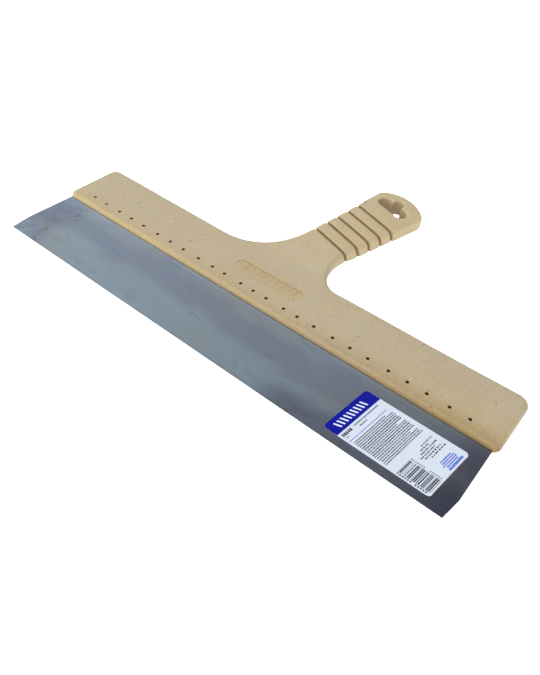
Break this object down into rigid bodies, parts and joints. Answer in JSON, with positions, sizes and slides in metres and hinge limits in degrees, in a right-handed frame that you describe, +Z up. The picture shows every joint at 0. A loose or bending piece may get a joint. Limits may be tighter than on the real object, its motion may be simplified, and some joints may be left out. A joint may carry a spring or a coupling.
{
  "type": "drywall taping knife",
  "caption": "Wide drywall taping knife: a long flat steel blade moulded into a full-length bar, with an angled ribbed grip and a three-lobed hanging hole.",
  "frame": {"origin": "centre of the handle bar's underside, the face that the knife rests on", "axes": "+X along the bar and the blade, +Y from the blade towards the grip, +Z up from the resting face"},
  "size_m": [0.4586, 0.2726, 0.0278],
  "materials": {
    "blade_steel": "rolled, blue-grey, lightly oiled",
    "handle_composite": "matte beige wood-fibre plastic with fine specks",
    "label_film": "satin printed film"
  },
  "bodies": {
    "root": {"blade": "blade_steel", "handle": "handle_composite", "label": "label_film"}
  },
  "joints": []
}
